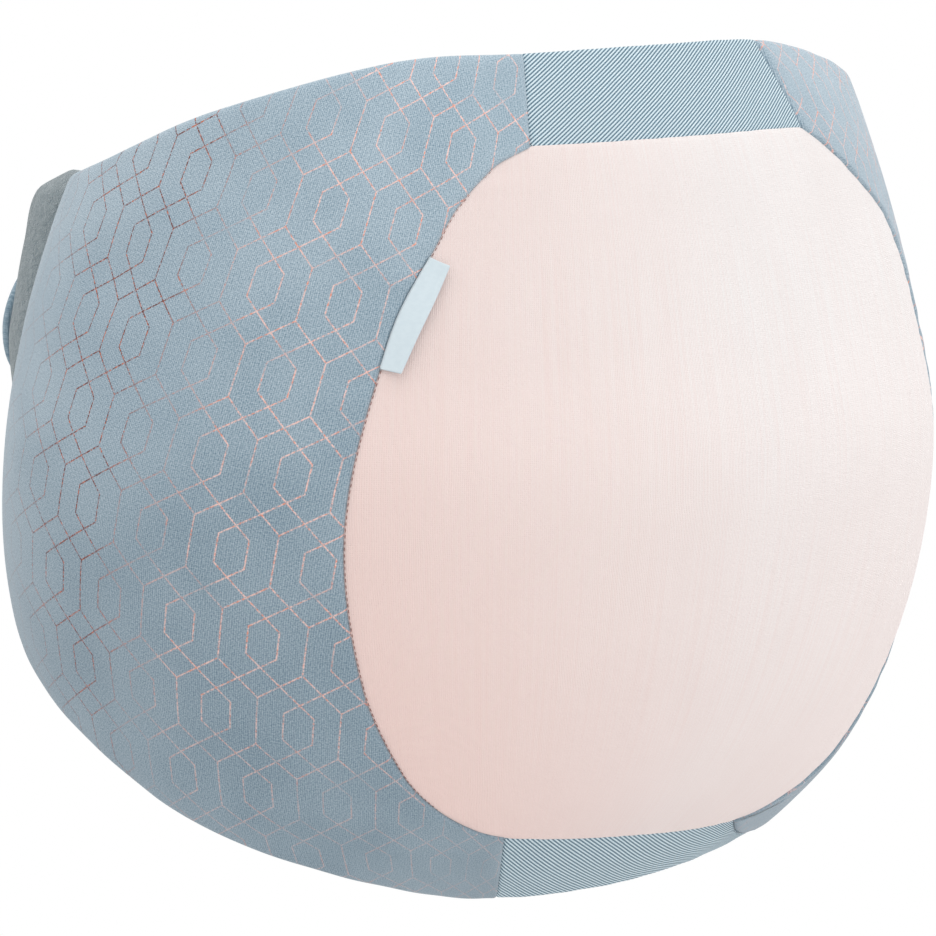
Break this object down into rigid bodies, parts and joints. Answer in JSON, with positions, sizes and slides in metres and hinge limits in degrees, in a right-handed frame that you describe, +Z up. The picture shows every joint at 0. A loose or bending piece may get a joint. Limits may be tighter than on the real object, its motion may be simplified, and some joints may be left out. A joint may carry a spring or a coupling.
{
  "type": "maternity support belt",
  "caption": "Maternity support belt in its worn form: stretch belly panel, padded side wings, two elastic bands and a back strap that closes over itself.",
  "frame": {"origin": "on the wearer's torso axis, at the middle of the belt's height over the belly", "axes": "+Z up the wearer's body; -Y is the belly side; +X is the wearer's left"},
  "size_m": [0.3394, 0.268, 0.2913],
  "materials": {
    "blush_jersey": "smooth stretch jersey",
    "light_blue_twill_elastic": "ribbed twill elastic",
    "grey_blue_jersey_padded": "knit jersey over soft padding, with a fine copper foil print",
    "grey_brushed_loop": "brushed loop cloth",
    "grey_blue_tab": "smooth knit jersey",
    "hook_tape": "hook side of hook-and-loop tape",
    "pale_satin_tag": "satin ribbon"
  },
  "bodies": {
    "root": {"belly_panel": "blush_jersey", "top_elastic": "light_blue_twill_elastic", "bottom_elastic": "light_blue_twill_elastic", "side_wing_right": "grey_blue_jersey_padded", "side_wing_left": "grey_blue_jersey_padded", "back_strap_right": "grey_brushed_loop", "back_strap_left": "grey_blue_tab", "hook_patch": "hook_tape", "side_tag": "pale_satin_tag"}
  },
  "joints": []
}
